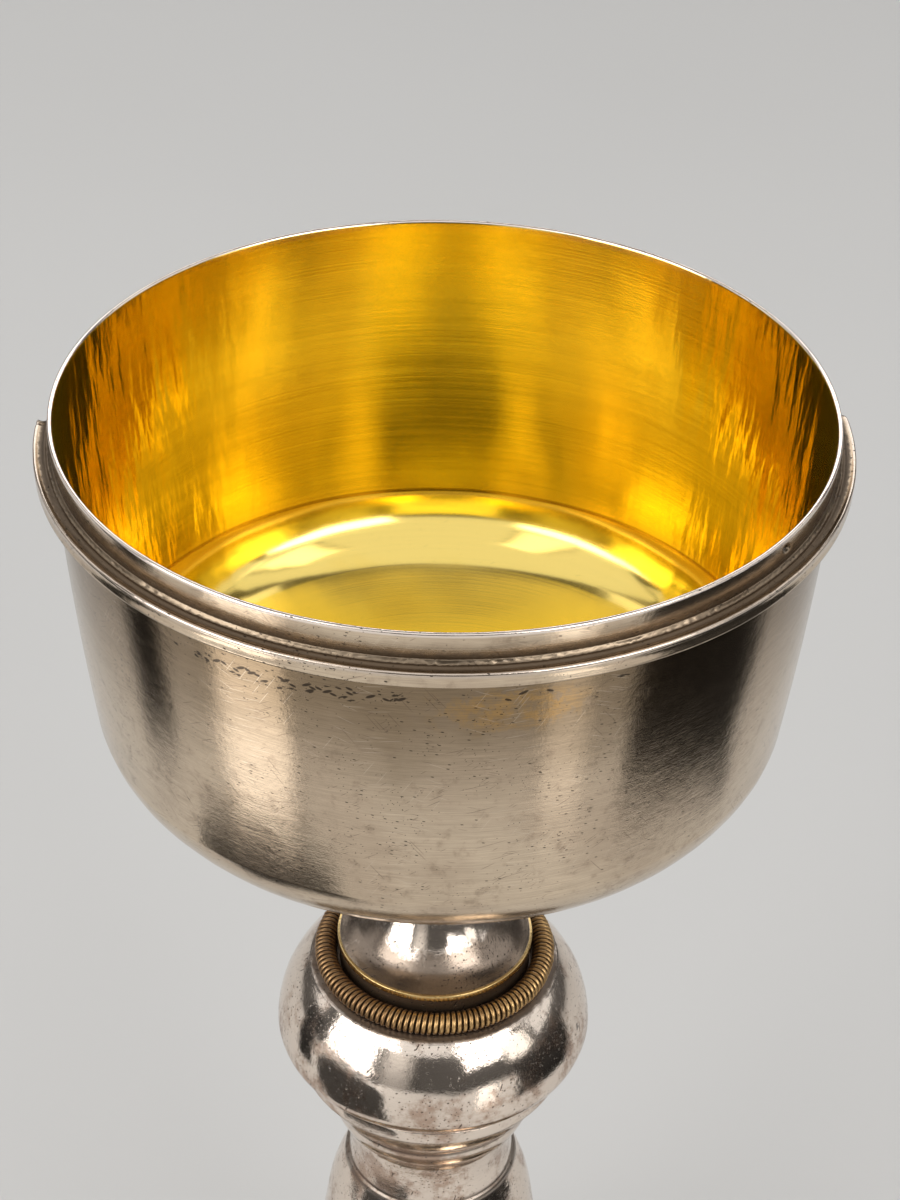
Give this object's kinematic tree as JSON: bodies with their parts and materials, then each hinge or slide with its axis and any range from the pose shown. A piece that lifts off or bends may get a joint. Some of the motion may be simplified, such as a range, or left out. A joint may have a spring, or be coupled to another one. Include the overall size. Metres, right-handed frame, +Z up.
{
  "type": "ciborium",
  "caption": "Stemmed silver cup with a deep straight-sided bowl, gilt inside, a lid seat round the rim, a round knop with a wire coil, a baluster stem and a domed foot.",
  "frame": {"origin": "centre of the foot's underside, on the surface the cup stands on", "axes": "+Z up along the cup's axis, towards the rim; -Y is the front, where the lid seat's lip is whole"},
  "size_m": [0.13, 0.13, 0.265],
  "materials": {
    "bowl_silver_gilt": "worn satin silver outside with fine scratches and pits, polished gilding inside",
    "satin_silver": "worn satin silver, dark tarnish in the corners, bright edges",
    "polished_silver": "polished silver with mottled tarnish and small dark pits",
    "gilt_wire": "gilt brass wire with brown patina between the turns"
  },
  "bodies": {
    "root": {"bowl": "bowl_silver_gilt", "seat_collar": "satin_silver", "neck_flare": "polished_silver", "coil_ring": "gilt_wire", "knop": "polished_silver", "baluster": "polished_silver", "foot": "satin_silver"}
  },
  "joints": []
}
